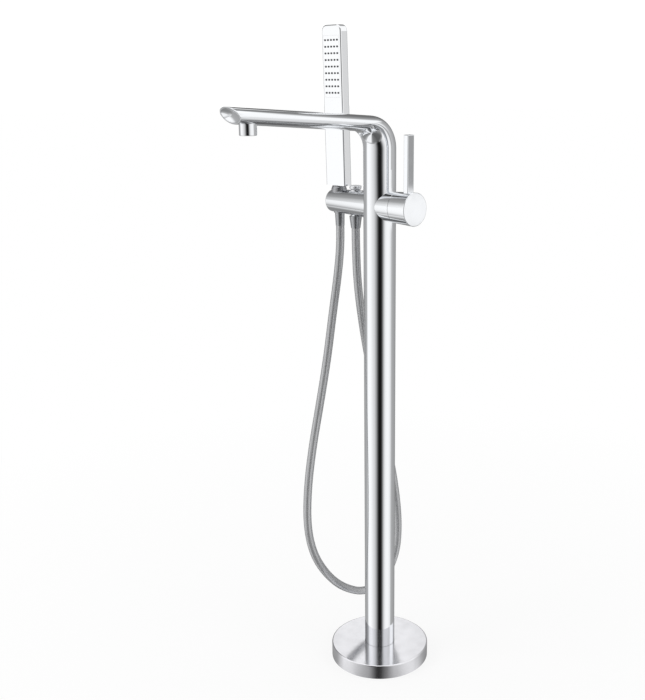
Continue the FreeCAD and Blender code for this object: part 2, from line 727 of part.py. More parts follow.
def cartridge():
    """The joystick cartridge: housing, fixed and sliding discs, rotor, pin and stem, and its nut."""
    barrel = along_x("housing_barrel", "cartridge_radius", "cartridge_back", "cartridge_shoulder")
    neck = along_x("housing_neck", "cartridge_neck", "cartridge_back", "neck_end")
    cavity = along_x("housing_cavity", "cavity_radius", "disc_back", "rotor_back")
    bore = along_x("housing_bore", "rotor_radius + running_fit", "disc_back", "neck_end")
    sides = [cylinder(side + "_window", "supply_pipe / 3", "cartridge_radius",
                      ("0", sign + "supply_offset", "body_height - cartridge_radius"))
             for side, sign in (("hot", "-"), ("cold", ""))]
    finished(cut("housing", fuse("housing_solid", barrel, neck), cavity, bore, *sides), "cartridge_housing")

    finished(along_x("seal_disc", "cartridge_radius", "cartridge_back - seal_thickness",
                     "cartridge_back"), "cartridge_seal")

    disc = along_x("disc_blank", "disc_radius", "disc_back", "disc_back + disc_thickness")
    port = along_x("disc_port_single", "disc_radius / 5", "disc_back", "disc_back + disc_thickness")
    place(port, ("disc_back", "0", "body_height + disc_radius / 2"), ALONG_X)
    doc.recompute()
    ports = []
    for turn in (0, 120, 240):
        copy = port.Shape.copy()
        copy.rotate(FreeCAD.Vector(0, 0, v.body_height), X, turn)
        ports.append(copy)
    port_group = doc.addObject("Part::Feature", "disc_ports")
    port_group.Shape = Part.makeCompound(ports)
    finished(cut("fixed_disc", disc, port_group), "ceramic_disc_fixed")

    slide_back = "disc_back + disc_thickness + running_fit"
    slide_front = "rotor_back - moving_disc_gap"
    carriage = along_x("carriage", "moving_disc_radius", slide_back, slide_front)
    pocket = along_x("carriage_pocket", "stem_ball / 2 + seat_gap",
                     "pivot_x - stem_tail - stem_ball / 2 - 4 * seat_gap", slide_front)
    finished(cut("moving_disc", carriage, pocket), "ceramic_disc_moving")

    rotor = along_x("rotor_blank", "rotor_radius", "rotor_back", "neck_end + rotor_proud")
    window = box("rotor_window", "rotor_length * 3", "rotor_window_width", "rotor_window_height",
                 ("pivot_x", "0", "body_height - rotor_window_height / 2"))
    pin = cylinder("rotor_pin", "pin_diameter / 2", "rotor_radius * 2 - 2 * pin_inset",
                   ("pivot_x", "-rotor_radius + pin_inset", "body_height"), ALONG_Y)
    pin_hole = cylinder("rotor_pin_hole", "pin_diameter / 2", "rotor_radius * 2",
                        ("pivot_x", "-rotor_radius", "body_height"), ALONG_Y)
    finished(cut("rotor", rotor, window, pin_hole), "cartridge_rotor")
    finished(pin, "stem_pin")

    ball = sphere("stem_end", "stem_ball / 2", ("pivot_x - stem_tail", "0", "body_height"))
    tail = along_x("stem_tail_rod", "stem_ball / 3", "pivot_x - stem_tail", "pivot_x")
    blade = box("stem_blade", "stem_tail * 2.4", "stem_width", "stem_height",
                ("pivot_x + stem_tail * 0.6", "0", "body_height - stem_height / 2"))
    square = box("stem_head", "stem_reach - stem_tail * 1.8", "stem_square", "stem_square",
                 ("pivot_x + (stem_reach + stem_tail * 1.8) / 2", "0", "body_height - stem_square / 2"))
    eye = cylinder("stem_eye", "pin_diameter / 2 + running_fit", "stem_square * 2",
                   ("pivot_x", "-stem_square", "body_height"), ALONG_Y)
    finished(cut("stem", fuse("stem_solid", ball, tail, blade, square), eye), "cartridge_stem")

    nut = along_x("nut_blank", "nut_radius", "cartridge_shoulder", "cartridge_shoulder + nut_length")
    nut_hole = along_x("nut_hole", "cartridge_neck + seat_gap", "cartridge_shoulder",
                       "cartridge_shoulder + nut_length")
    notches = [box("notch_" + way, "nut_notch * 2", *spans, at=("cartridge_shoulder + nut_length", "0", foot))
               for way, spans, foot in (
                   ("level", ("nut_radius * 2", "nut_notch"), "body_height - nut_notch / 2"),
                   ("upright", ("nut_notch", "nut_radius * 2"), "body_height - nut_radius"))]
    finished(cut("nut", nut, nut_hole, *notches), "cartridge_nut")


# ================================================================ lever
def handle():
    """The lever's hub: a taper that runs on from the body, cupped inside to slide on the dome."""
    blank = body_cone("handle_blank", "face_x", "handle_end")
    edged = round_edges("handle_edged", blank, v.handle_edge_round,
                        lambda e: e.BoundBox.XMin > v.handle_end - 0.01)
    cup = sphere("handle_cup", "dome_radius + cup_gap", ("pivot_x", "0", "body_height"))
    stem_socket = box("stem_socket", "dome_radius", "stem_square", "stem_square",
                      ("pivot_x + stem_reach - dome_radius / 2", "0", "body_height - stem_square / 2"))
    spigot_hole = cylinder("spigot_hole", "lever_spigot / 2", "body_radius_mid",
                           ("lever_x", "0", "lever_seat - lever_spigot_depth"))
    screw_hole = cylinder("handle_screw_hole", "handle_screw / 2", "body_radius_mid",
                          ("screw_x", "0", "body_height - body_radius_mid - stem_square / 2"))
    plug_hole = cylinder("plug_hole", "screw_plug / 2", "body_radius_mid",
                         ("screw_x", "0", "plug_top - body_radius_mid"))
    finished(cut("hub", edged, cup, stem_socket, spigot_hole, screw_hole, plug_hole), "lever_hub")

    bar = box("lever_bar", "lever_width", "lever_depth", "lever_top - body_height",
              ("lever_x", "0", "body_height"))
    rounded = round_edges("lever_rounded", bar, v.lever_edge_round,
                          lambda e: e.BoundBox.ZMax > v.body_height + 0.01)
    spigot = cylinder("lever_spigot_rod", "lever_spigot / 2", "lever_spigot_depth + 2 * body_edge_round",
                      ("lever_x", "0", "lever_seat - lever_spigot_depth"))
    hub_space = body_cone("lever_saddle", "pivot_x", "handle_end")
    finished(fuse("lever_blade_solid", cut("lever_blade", rounded, hub_space), spigot), "lever")

    screw = cylinder("handle_grub", "handle_screw / 2", "body_height - stem_square / 2 - plug_top",
                     ("screw_x", "0", "plug_top"))
    finished(screw, "handle_screw")
    plug = cylinder("plug_rod", "screw_plug / 2", "body_radius_mid",
                    ("screw_x", "0", "plug_top - body_radius_mid"))
    finished(common("plug", plug, body_cone("plug_space", "pivot_x", "handle_end")), "screw_plug")


# ================================================================ diverter and outlet
def diverter():
    """The lift knob over the hose outlet, its piston, its ring and the spring that drops it."""
    axis = ("-outlet_x", "0")
    stem_hole = cylinder("bonnet_hole", "diverter_stem / 2 + running_fit", "bonnet_top", axis + ("0",))
    bonnet = cylinder("bonnet_rod", "chamber_diameter / 2", "bonnet_top - bonnet_bottom",
                      axis + ("bonnet_bottom",))
    finished(cut("bonnet", bonnet, stem_hole), "diverter_bonnet")

    knob = cylinder("knob_blank", "knob_diameter / 2", "knob_height", axis + ("knob_base",))
    edged = round_edges("knob_edged", knob, v.knob_round, lambda e: e.BoundBox.ZLength < 0.01)
    stem_seat = cylinder("knob_seat", "diverter_stem / 2", "knob_height / 2", axis + ("knob_base",))
    finished(cut("knob", edged, stem_seat), "diverter_knob")

    ring_minor = "piston_ring / 2"
    ring_major = "chamber_diameter / 2 - running_fit - " + ring_minor
    ring_place = axis + ("piston_bottom + piston_height / 2",)
    rod = cylinder("diverter_rod", "diverter_stem / 2",
                   "knob_base + knob_height / 2 - piston_bottom", axis + ("piston_bottom",))
    piston = cylinder("piston", "chamber_diameter / 2 - 2 * running_fit", "piston_height",
                      axis + ("piston_bottom",))
    ring, groove = (doc.addObject("Part::Torus", name) for name in ("piston_ring_solid", "piston_groove"))
    for torus in (ring, groove):
        bind(torus, "Radius1", ring_major)
        bind(torus, "Radius2", ring_minor)
        place(torus, ring_place)
    finished(cut("stem_and_piston", fuse("stem_and_piston_blank", rod, piston), groove), "diverter_stem")
    finished(ring, "diverter_seal")

    gap = v.seat_gap + v.spring_wire / 2
    foot = v.piston_bottom + v.piston_height + gap
    height = v.bonnet_bottom - gap - foot
    radius = (v.spring_diameter - v.spring_wire) / 2
    helix = Part.makeHelix(height / v.spring_turns, height, radius)
    wire_ring = Part.Wire([Part.Circle(FreeCAD.Vector(radius, 0, 0), Y, v.spring_wire / 2).toShape()])
    spring = doc.addObject("Part::Feature", "spring")
    spring.Shape = Part.Wire(helix.Edges).makePipeShell([wire_ring], True, True)
    spring.Placement = FreeCAD.Placement(FreeCAD.Vector(-v.outlet_x, 0, foot), FreeCAD.Rotation())
    finished(spring, "diverter_spring")

    nipple = cylinder("nipple_rod", "nipple_diameter / 2", "nipple_top - nipple_bottom",
                      axis + ("nipple_bottom",))
    nipple_hole = cylinder("nipple_hole", "nipple_bore / 2", "nipple_top", axis + ("0",))
    finished(cut("nipple", nipple, nipple_hole), "outlet_nipple")

    nut = cone("outlet_nut_cone", "nut_bottom_diameter / 2", "nut_top_diameter / 2", "outlet_nut_length",
               axis + ("outlet_nut_foot",))
    thread = cylinder("outlet_nut_thread", "nipple_diameter / 2", "outlet_nut_length",
                      axis + ("nipple_bottom",))
    throat = cylinder("outlet_nut_throat", "nipple_bore / 2", "outlet_nut_length",
                      axis + ("outlet_nut_foot",))
    edged = round_edges("outlet_nut_edged", nut, v.knob_round / 2, lambda e: e.BoundBox.ZLength < 0.01)
    finished(cut("outlet_nut", edged, thread, throat), "hose_nut_outlet")


# ================================================================ hand shower and its socket
def socket_and_cone():
    lining = fuse("bush_solid", socket_space("bush_outside", "bush_top_radius", "bush_bottom_radius"),
                  cylinder("bush_collar", "collar_radius", "collar_depth",
                           ("0", "0", "bush_top - collar_depth")))
    space = socket_space("bush_inside", "bush_top_radius - bush_wall", "bush_bottom_radius - bush_wall")
    finished(lean_with_socket(cut("bush", lining, space)), "socket_bush")

    taper = cone("cone_taper", "cone_foot_radius", "cone_top_radius", "bush_top + cone_length",
                 ("0", "0", "-cone_length"))
    ring = cylinder("cone_shoulder_blank", "shoulder_radius", "shoulder_height",
                    ("0", "0", "bush_top + seat_gap"))
    shoulder = round_edges("cone_shoulder", ring, v.shoulder_round,
                           lambda e: e.BoundBox.ZMin > v.bush_top + v.shoulder_height)
    link = cylinder("cone_link", "cone_top_radius", "seat_gap * 2", ("0", "0", "bush_top"))
    bore = cylinder("cone_bore_space", "cone_bore / 2", "neck_spigot_depth + seat_gap",
                    ("0", "0", "bush_top + shoulder_height - neck_spigot_depth"))
    throat = cylinder("cone_throat", "nipple_bore / 2", "cone_length + bush_top",
                      ("0", "0", "-cone_length"))
    finished(lean_with_socket(cut("hose_cone", fuse("cone_solid", taper, shoulder, link), bore, throat)),
             "hose_cone")

    neck = cylinder("neck_collar", "neck_radius", "neck_height", ("0", "0", "neck_foot"))
    spigot = cylinder("neck_spigot", "cone_bore / 2 - running_fit", "neck_spigot_depth",
                      ("0", "0", "neck_foot - neck_spigot_depth + 2 * seat_gap"))
    way = cylinder("neck_way", "nipple_bore / 2", "bush_top + cone_length", ("0", "0", "0"))
    finished(lean_with_socket(cut("neck", fuse("neck_solid", neck, spigot), way)), "handset_neck")


def handset():
    """The flat stick: a rounded bar with a recess in its face for the spray plate."""
    body = doc.addObject("PartDesign::Body", "stick_body")
    outline = sketch_on(body, "stick_outline", "XZ_Plane", "-handset_depth / 2")
    half = "handset_width / 2"
    sketch_polygon(outline, [(half, "handset_foot"), (half, "handset_top"), ("-" + half, "handset_top"),
                             ("-" + half, "handset_foot")])
    bar = body.newObject("PartDesign::Pad", "stick_bar")
    bar.Profile = outline
    bind(bar, "Length", "handset_depth")
    doc.recompute()
    shoulders = body_fillet(body, "stick_shoulders", bar, "handset_corner", is_shoulder)
    edges = body_fillet(body, "stick_edges", shoulders, "handset_edge_round", is_face_edge)
    recess = body.newObject("PartDesign::Pocket", "spray_recess")
    recess.Profile = spray_outline(body, "recess_outline", "handset_depth / 2", "0")
    bind(recess, "Length", "spray_recess")
    channel_ring = sketch_on(body, "channel_ring", "XY_Plane", "handset_foot")
    sketch_circle(channel_ring, "handset_channel / 2")
    channel = body.newObject("PartDesign::Pocket", "channel")
    channel.Profile = channel_ring
    channel.Reversed = True
    bind(channel, "Length", "spray_centre - handset_foot")
    body.Tip = channel
    finished(lean_with_socket(body), "handset_shell")


def is_shoulder(edge):
    box = edge.BoundBox
    return box.YLength > v.handset_depth - 0.01 and box.ZMin > v.handset_top - 0.01


def is_face_edge(edge):
    box = edge.BoundBox
    at_face = abs(abs(box.Center.y) - v.handset_depth / 2) < 0.01 and box.YLength < 0.01
    return at_face and box.ZMax > v.handset_foot + 0.01


def body_fillet(body, name, base, radius, wanted):
    rounded = body.newObject("PartDesign::Fillet", name)
    picked = ["Edge%d" % n for n, edge in enumerate(base.Shape.Edges, 1) if wanted(edge)]
    rounded.Base = (base, picked)
    bind(rounded, "Radius", radius)
    doc.recompute()
    return rounded


def spray_outline(body, name, offset, gap):
    """The spray window's outline on the handset's face, drawn smaller all round by a gap."""
    outline = sketch_on(body, name, "XZ_Plane", offset)
    half, reach = "(spray_width / 2 - %s)" % gap, "(spray_length / 2 - %s)" % gap
    sketch_polygon(outline, [(half, "spray_centre - " + reach), (half, "spray_centre + " + reach),
                             ("-" + half, "spray_centre + " + reach),
                             ("-" + half, "spray_centre - " + reach)])
    return outline


def nozzle_row(body, name, offset, radius):
    """One row of circles at the foot of the nozzle field."""
    row = sketch_on(body, name, "XZ_Plane", offset)
    columns = int(v.nozzle_columns)
    for column_number in range(columns):
        x = "nozzle_column_pitch * (%g)" % (column_number - (columns - 1) / 2)
        sketch_circle(row, radius, (x, "spray_centre - nozzle_row_pitch * (nozzle_rows - 1) / 2"))
    return row


def repeat_rows(body, feature, row):
    rows = body.newObject("PartDesign::LinearPattern", feature.Name + "_rows")
    rows.Originals = [feature]
    rows.Direction = (row, ["V_Axis"])
    bind(rows, "Length", "nozzle_row_pitch * (nozzle_rows - 1)")
    bind(rows, "Occurrences", "nozzle_rows")
    body.Tip = rows


def spray_face():
    """The perforated plate in the handset's window, and the rubber mat whose nozzles pass through it."""
    body = doc.addObject("PartDesign::Body", "plate_of_spray")
    pad = body.newObject("PartDesign::Pad", "spray_plate_pad")
    pad.Profile = spray_outline(body, "spray_plate_outline", "handset_depth / 2 - spray_plate", "seat_gap")
    bind(pad, "Length", "spray_plate")
    row = nozzle_row(body, "hole_row", "handset_depth / 2", "nozzle_diameter / 2")
    hole = body.newObject("PartDesign::Pocket", "nozzle_hole")
    hole.Profile = row
    hole.Type = "ThroughAll"
    repeat_rows(body, hole, row)
    finished(lean_with_socket(body), "spray_plate")

    mat = doc.addObject("PartDesign::Body", "mat_of_nozzles")
    back = "handset_depth / 2 - spray_plate - mat_thickness"
    sheet_pad = mat.newObject("PartDesign::Pad", "mat_pad")
    sheet_pad.Profile = spray_outline(mat, "mat_outline", back, "seat_gap")
    bind(sheet_pad, "Length", "mat_thickness")
    row = nozzle_row(mat, "nozzle_row", "handset_depth / 2 - spray_plate", "nozzle_diameter / 2")
    nozzle = mat.newObject("PartDesign::Pad", "nozzle")
    nozzle.Profile = row
    bind(nozzle, "Length", "spray_plate + nozzle_proud")
    repeat_rows(mat, nozzle, row)
    finished(lean_with_socket(mat), "nozzle_mat")


# ================================================================ supply pipes
def supply(side, sign):
    axis = ("0", sign + "supply_offset")
    top = "gasket_thickness + connector_height"
    foot = "gasket_thickness + connector_thread_depth"
    tube = cylinder(side + "_tube", "supply_pipe / 2", "supply_top - (%s)" % foot, axis + (foot,))
    bore = cylinder(side + "_bore", "supply_pipe / 2 - supply_pipe_wall", "body_height", axis + ("0",))
    finished(cut(side + "_pipe", tube, bore), "supply_pipe_" + side)
    block = cylinder(side + "_block", "connector_diameter / 2", "connector_height",
                     axis + ("gasket_thickness",))
    thread = cylinder(side + "_thread", "connector_thread / 2", "connector_thread_depth",
                      axis + ("gasket_thickness",))
    pipe_seat = cylinder(side + "_pipe_seat", "supply_pipe / 2", top, axis + (foot,))
    finished(cut(side + "_connector", block, thread, pipe_seat), "supply_connector_" + side)


# ================================================================ hose
def hose_route():
    """The hose's centre line: down from the hand shower's cone, round the loop and up to the outlet."""
    lean = math.radians(v.socket_lean)

    def below_cone(distance):
        return (-v.socket_x, distance * math.sin(lean), v.body_height - distance * math.cos(lean))
    outlet_end = v.outlet_nut_foot
    straight = 2 * v.hose_diameter
    return [below_cone(v.cone_length), below_cone(v.cone_length + straight),
            (-81.2, -4, 590), (-79.7, -18, 527), (-78, -32.5, 463), (-76.4, -50, 397),
            (-75, -67.5, 335), (-73.8, -80, 273), (-72.5, -84.5, 213), (-70.8, -77, 159),
            (-68.5, -54, 114), (-65.5, -20, 83), (-62, 24, 70), (-58.3, 68, 86),
            (-54.8, 95, 124), (-52, 98.5, 180), (-50.8, 90, 240), (-50.2, 74, 304),
            (-49.8, 54, 369), (-49.4, 34, 437), (-49, 17, 508), (-48.4, 4.5, 576),
            (-v.outlet_x, 0, outlet_end - straight), (-v.outlet_x, 0, outlet_end)]


def hose_stretch(name, points):
    """Straight runs joined by tangent arcs, each as large as its two runs allow."""
    edges, start, radii = [], points[0], []
    for before, corner, after in zip(points, points[1:], points[2:]):
        into, out = (corner - before).normalize(), (after - corner).normalize()
        half_turn = into.getAngle(out) / 2
        setback = 0.45 * min((corner - before).Length, (after - corner).Length)
        radii.append(setback / math.tan(half_turn))
        first, last = corner - into * setback, corner + out * setback
        depth = radii[-1] * (1 / math.cos(half_turn) - 1)
        middle = corner + (out - into).normalize() * depth
        edges += [Part.LineSegment(start, first).toShape(), Part.Arc(first, middle, last).toShape()]
        start = last
    edges.append(Part.LineSegment(start, points[-1]).toShape())
    path = Part.Wire(edges)
    thing = doc.addObject("Part::Feature", name + "_tube")
    thing.Shape = swept_round(path, v.hose_diameter / 2, points[0], points[1] - points[0])
    section = math.pi * v.hose_diameter ** 2 / 4
    print("%s: length %.0f, volume over section times length %.4f, radii %s" %
          (name, path.Length, thing.Shape.Volume / (section * path.Length),
           " ".join("%.0f" % radius for radius in radii)))
    finished(thing, name)


def hose():
    """The stretch that follows the hand shower when it is lifted, and the loop that stays."""
    points = [FreeCAD.Vector(*point) for point in hose_route()]
    last = 7
    parting = (points[last] + points[last + 1]) / 2
    hose_stretch("hose_upper", points[:last + 1] + [parting])
    hose_stretch("hose_loop", [parting] + points[last + 1:])


# ================================================================ assembly
grub_holes = grub("grub_holes", "column_diameter / 2 - running_fit", "column_diameter / 2 + hub_wall + 1")
floor_gasket()
floor_plate()
finished(grub("grub_screws_group", "column_diameter / 2", "column_diameter / 2 + hub_wall"), "column_screws")
base_cover()
finished(ring_torus("cover_ring_solid", "cover_ring_height"), "cover_ring")
column()
spout()
spout_pipe()
aerator()
valve_body()
dome_cover()
cartridge()
handle()
diverter()
socket_and_cone()
handset()
spray_face()
supply("hot", "-")
supply("cold", "")
hose()
doc.removeObject(scratch.Name)
doc.recompute()

for thing in doc.Objects:
    if "Invalid" in thing.State or "Error" in thing.State:
        raise RuntimeError("%s failed: %s" % (thing.Label, thing.State))

os.makedirs("parts", exist_ok=True)
for node in nodes:
    shape = node.Shape
    if shape.isNull() or not shape.isValid() or not shape.Solids:
        raise RuntimeError("%s has no valid solid" % node.Label)
    shape.exportStep("parts/%s.step" % node.Label)
print("%d nodes" % len(nodes))
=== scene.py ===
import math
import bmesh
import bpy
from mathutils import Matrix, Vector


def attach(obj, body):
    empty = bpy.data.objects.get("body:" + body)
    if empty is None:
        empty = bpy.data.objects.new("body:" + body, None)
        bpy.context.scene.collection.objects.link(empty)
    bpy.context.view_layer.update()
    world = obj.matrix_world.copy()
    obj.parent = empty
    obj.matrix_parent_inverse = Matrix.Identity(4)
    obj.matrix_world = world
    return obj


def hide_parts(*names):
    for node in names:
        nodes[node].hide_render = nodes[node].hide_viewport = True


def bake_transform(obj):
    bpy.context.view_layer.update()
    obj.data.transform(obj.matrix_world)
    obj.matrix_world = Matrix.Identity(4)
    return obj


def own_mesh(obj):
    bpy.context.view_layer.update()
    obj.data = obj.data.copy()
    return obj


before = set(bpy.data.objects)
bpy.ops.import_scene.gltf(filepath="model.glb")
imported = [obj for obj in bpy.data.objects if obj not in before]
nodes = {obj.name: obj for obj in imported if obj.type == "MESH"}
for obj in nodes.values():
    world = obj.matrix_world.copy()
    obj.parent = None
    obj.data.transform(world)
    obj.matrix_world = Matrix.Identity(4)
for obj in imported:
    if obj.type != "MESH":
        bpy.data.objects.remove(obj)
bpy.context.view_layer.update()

# %% [markdown]
# # A floor standing bath filler
# A chromed column stands on a round floor flange.  It bends into a flat spout, carries a tapered
# mixer body with a joystick lever, and holds a stick hand shower on a long hose.  The solids come
# from the CAD frame.  Here the polished skins get enough facets for clean reflections, the hose
# gets its real curve, and every surface gets its finish.

MM = 0.001

# %% [markdown]
# ## The camera
# The photograph looks down a little from about waist height, turned 45 degrees between the spout
# and the lever.  The verticals converge downwards, so the camera is tilted rather than shifted, and
# only the framing to the left needs a small shift.

# %% Camera
camera = bpy.data.objects.new("camera", bpy.data.cameras.new("camera"))
bpy.context.scene.collection.objects.link(camera)
camera.location = (0.9666, -0.9666, 0.853)
camera.rotation_euler = (math.radians(74.98), 0, math.radians(45))
camera.data.lens = 50.9
camera.data.shift_x = -0.0817
bpy.context.scene.camera = camera
print("camera", camera.data.lens, "mm at", tuple(round(x, 3) for x in camera.location))

# %% [markdown]
# ## The hose's route
# The hose leaves the cone under the hand shower, hangs in one long loop and comes up to the nut
# under the mixer body.  One NURBS line of order three passes near every point of the route, as a
# real hose does, with no kinks.  It is made as two stretches that meet in the middle of a straight
# run: the loop rides on the stand, and the upper one stays where it is drawn.

# %% Hose: control points and curve
HOSE_RADIUS = 6 * MM
SOCKET_LEAN = math.radians(1.5)
SOCKET = Matrix.Translation((-0.0815, 0, 0.692)) @ Matrix.Rotation(SOCKET_LEAN, 4, "X")
OUTLET_END = 0.656238


def below_socket(distance):
    return tuple(SOCKET @ Vector((0, 0, -distance)))


upper_route = [below_socket(0.035), below_socket(0.059), (-0.0812, -0.004, 0.590),
               (-0.0797, -0.018, 0.527), (-0.078, -0.0312, 0.463), (-0.0764, -0.0485, 0.397),
               (-0.075, -0.0655, 0.335), (-0.0738, -0.0775, 0.273), (-0.07315, -0.07925, 0.243)]
loop_route = [(-0.07315, -0.07925, 0.243), (-0.0725, -0.081, 0.213), (-0.0708, -0.0700, 0.163),
              (-0.0685, -0.0445, 0.121), (-0.0655, -0.014, 0.090), (-0.062, 0.029, 0.067),
              (-0.0583, 0.068, 0.077), (-0.0548, 0.0925, 0.113), (-0.052, 0.0955, 0.167),
              (-0.0508, 0.086, 0.234), (-0.0502, 0.069, 0.304), (-0.0498, 0.050, 0.369),
              (-0.0494, 0.031, 0.437), (-0.049, 0.0145, 0.508), (-0.0484, 0.003, 0.576),
              (-0.048, 0, OUTLET_END - 0.024), (-0.048, 0, OUTLET_END)]


def hose_line(name, route):
    """A NURBS line along the hose's control points, with no thickness yet."""
    line = bpy.data.curves.new(name, "CURVE")
    line.dimensions = "3D"
    spline = line.splines.new("NURBS")
    spline.points.add(len(route) - 1)
    for point, place in zip(spline.points, route):
        point.co = (*place, 1)
    spline.order_u = 3
    spline.use_endpoint_u = True
    spline.resolution_u = 16
    line.twist_mode = "MINIMUM"
    line.resolution_u = 16
    return line


def as_mesh(holder):
    bpy.context.view_layer.update()
    depsgraph = bpy.context.evaluated_depsgraph_get()
    return bpy.data.meshes.new_from_object(holder.evaluated_get(depsgraph))


def hose_stretch(name, route):
    """The stretch as a tube, the points of its centre line and its length."""
    line = hose_line(name + "_line", route)
    holder = bpy.data.objects.new(name + "_line", line)
    bpy.context.scene.collection.objects.link(holder)
    path = [v.co.copy() for v in as_mesh(holder).vertices]
    line.bevel_depth = HOSE_RADIUS
    line.bevel_resolution = 6
    tube = as_mesh(holder)
    bpy.data.objects.remove(holder)
    piece = bpy.data.objects.new(name, tube)
    bpy.context.scene.collection.objects.link(piece)
    length = sum((b - a).length for a, b in zip(path, path[1:]))
    print(name, "length", round(length, 3), "faces", len(tube.polygons))
    return piece, path, length


hose_upper, upper_path, upper_length = hose_stretch("hose_upper_sleeve", upper_route)
hose_loop, loop_path, loop_length = hose_stretch("hose_loop_sleeve", loop_route)
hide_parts("hose_upper")
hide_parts("hose_loop")
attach(hose_loop, "stand")
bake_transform(hose_upper)

# %% [markdown]
# ## The spout's polished skin
# The tube bends over on a small radius and flattens into the arm.  Mirror plate shows every facet of
# such a bend, so the spout is drawn again with many rings: an ellipse that turns round the bend and
# then thins along the arm.  Its raked end gets a rounded lip, and the plate that closes it is a
# shallow dish.

# %% Helpers for skins
SKIN_FACETS = 128


def shown_piece(name, shape, body, node, sharp=35):
    """A finished mesh from a bmesh: it rides on its body and stands for its CAD node."""
    bmesh.ops.recalc_face_normals(shape, faces=shape.faces)
    for face in shape.faces:
        face.smooth = True
    mesh = bpy.data.meshes.new(name)
    shape.to_mesh(mesh)
    shape.free()
    mesh.set_sharp_from_angle(angle=math.radians(sharp))
    piece = bpy.data.objects.new(name, mesh)
    bpy.context.scene.collection.objects.link(piece)
    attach(piece, body)
    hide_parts(node)
    print(name, "faces", len(mesh.polygons), "stands for", node)
    return piece


def ring_edges(shape, verts):
    """The edges that run between these vertices, in the mesh's own order."""
    inside = set(verts)
    return [edge for edge in shape.edges if set(edge.verts) <= inside]


def next_ring(shape, edges, move):
    """The ring extruded to its next place; the new ring's edges."""
    made = bmesh.ops.extrude_edge_only(shape, edges=edges)["geom"]
    verts = [g for g in made if isinstance(g, bmesh.types.BMVert)]
    bmesh.ops.transform(shape, matrix=move, verts=verts)
    return [g for g in made if isinstance(g, bmesh.types.BMEdge) and set(g.verts) <= set(verts)]


# %% The spout's sizes and rings
# in millimetres, as in the CAD source
COLUMN_RADIUS, COLUMN_TOP, BEND_START = 22.5, 742, 768.7
BEND_INSIDE, RISE, REACH, RAKE = 25, math.radians(3.8), 248, math.radians(33)
ARM_THICKNESS, TIP_THICKNESS, TIP_WIDTH, WALL = 21.3, 19.9, 36.5, 2.2
pivot = COLUMN_RADIUS + BEND_INSIDE
bend_outside = BEND_INSIDE + (ARM_THICKNESS - 2 * COLUMN_RADIUS * math.sin(RISE)) / (1 - math.sin(RISE))
arm_lift = BEND_INSIDE + ARM_THICKNESS / 2
arm_start = Vector((0, arm_lift * math.sin(RISE) - pivot, BEND_START + arm_lift * math.cos(RISE)))
arm_way = Vector((0, -math.cos(RISE), math.sin(RISE)))
arm_run = (REACH + arm_start.y) / math.cos(RISE)
tip = (arm_start + arm_way * arm_run) * MM


def ellipse_place(y, z, tilt, half_width, half_thickness):
    return (Matrix.Translation(Vector((0, y, z)) * MM) @ Matrix.Rotation(tilt, 4, "X")
            @ Matrix.Diagonal((half_width * MM, half_thickness * MM, 1, 1)))


def bend_place(turn):
    outer = (COLUMN_RADIUS - bend_outside + bend_outside * math.cos(turn), bend_outside * math.sin(turn))
    inner = (-pivot + BEND_INSIDE * math.cos(turn), BEND_INSIDE * math.sin(turn))
    across = (outer[0] - inner[0], outer[1] - inner[1])
    return ellipse_place((outer[0] + inner[0]) / 2, BEND_START + (outer[1] + inner[1]) / 2,
                         math.atan2(across[1], across[0]), COLUMN_RADIUS, math.hypot(*across) / 2)


def arm_place(along):
    middle = arm_start + arm_way * along
    share = along / arm_run
    return ellipse_place(middle.y, middle.z, math.pi / 2 - RISE,
                         COLUMN_RADIUS + (TIP_WIDTH / 2 - COLUMN_RADIUS) * share,
                         (ARM_THICKNESS + (TIP_THICKNESS - ARM_THICKNESS) * share) / 2)


BEND_STEPS, ARM_STEPS = 36, 12
rings = [ellipse_place(0, COLUMN_TOP, 0, COLUMN_RADIUS, COLUMN_RADIUS)]
rings += [bend_place((math.pi / 2 - RISE) * step / BEND_STEPS) for step in range(BEND_STEPS + 1)]
rings += [arm_place((arm_run + ARM_THICKNESS) * step / ARM_STEPS) for step in range(1, ARM_STEPS + 1)]

# %% The spout's skin and its raked lip
LIP_DEPTH, LIP_ROUND = 3.2, 0.5
shape = bmesh.new()
circle = bmesh.ops.create_circle(shape, segments=SKIN_FACETS, radius=1)["verts"]
bmesh.ops.transform(shape, matrix=rings[0], verts=circle)
edges = ring_edges(shape, circle)
for before, after in zip(rings, rings[1:]):
    edges = next_ring(shape, edges, after @ before.inverted())
face_out = Vector((0, -math.cos(RAKE), -math.sin(RAKE)))
face_up = Vector((0, -math.sin(RAKE), math.cos(RAKE)))
everything = shape.verts[:] + shape.edges[:] + shape.faces[:]
cut = bmesh.ops.bisect_plane(shape, geom=everything, dist=1e-7, plane_co=tip, plane_no=face_out,
                             clear_outer=True)["geom_cut"]
rim = [g for g in cut if isinstance(g, bmesh.types.BMEdge)]
tip_axes = Matrix((Vector((1, 0, 0)), face_up, face_out)).transposed()
tip_frame = Matrix.Translation(tip) @ tip_axes.to_4x4()
lean_of_cut = 1 / math.cos(RAKE + RISE)
lip = (TIP_WIDTH / 2, TIP_THICKNESS / 2 * lean_of_cut)
mouth = (TIP_WIDTH / 2 - WALL, (TIP_THICKNESS / 2 - WALL) * lean_of_cut)


def in_tip_frame(move):
    return tip_frame @ move @ tip_frame.inverted()


to_mouth = Matrix.Diagonal((mouth[0] / lip[0], mouth[1] / lip[1], 1, 1))
inner = next_ring(shape, rim, in_tip_frame(to_mouth))
next_ring(shape, inner, Matrix.Translation(-face_out * LIP_DEPTH * MM))
bmesh.ops.bevel(shape, geom=rim + inner, offset=LIP_ROUND * MM, segments=4, profile=0.5,
                affect="EDGES", material=-1)
spout_skin = shown_piece("spout_skin", shape, "stand", "spout")

